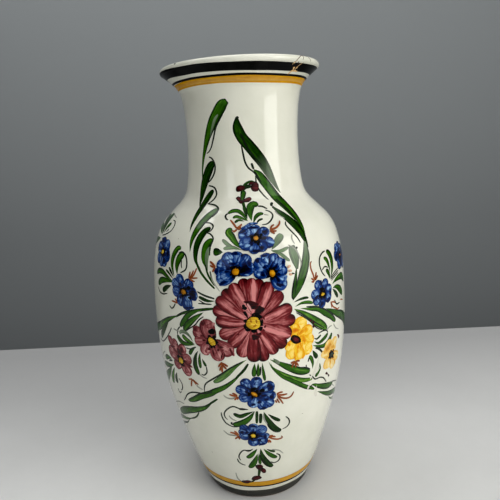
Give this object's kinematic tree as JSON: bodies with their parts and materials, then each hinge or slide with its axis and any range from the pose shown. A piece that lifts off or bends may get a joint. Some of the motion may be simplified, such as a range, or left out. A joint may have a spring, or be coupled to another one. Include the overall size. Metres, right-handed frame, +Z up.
{
  "type": "vase",
  "caption": "Hand-thrown glazed pottery vase with a wide belly, a narrow neck and a flared rim, painted with flowers, leaves and bands; holds flowers or stands as decoration.",
  "frame": {"origin": "centre of the flat foot ring, in the plane that the vase stands on", "axes": "+Z up along the turning axis; -Y towards the painted front; +X to the right seen from the front"},
  "size_m": [0.112, 0.112, 0.2445],
  "materials": {
    "fired_clay": "matte unglazed earthenware",
    "cream_glaze": "glossy cream tin glaze",
    "inner_glaze": "glossy thin glaze",
    "charcoal_foot": "matte charcoal slip",
    "black_paint": "glossy black manganese line",
    "ochre_paint": "glossy ochre brushed band",
    "cobalt_paint": "glossy cobalt blue brushwork",
    "manganese_paint": "glossy manganese red brushwork",
    "yellow_paint": "glossy antimony yellow brushwork",
    "green_paint": "glossy copper green brushwork",
    "rust_paint": "glossy iron rust brushwork"
  },
  "bodies": {
    "root": {"belly_clay": "fired_clay", "neck_clay": "fired_clay", "outer_glaze": "cream_glaze", "inner_glaze": "inner_glaze", "foot_band": "charcoal_foot", "foot_line": "black_paint", "foot_ochre_band": "ochre_paint", "rim_ochre_band": "ochre_paint", "rim_line": "black_paint", "rim_band": "black_paint"}
  },
  "joints": []
}
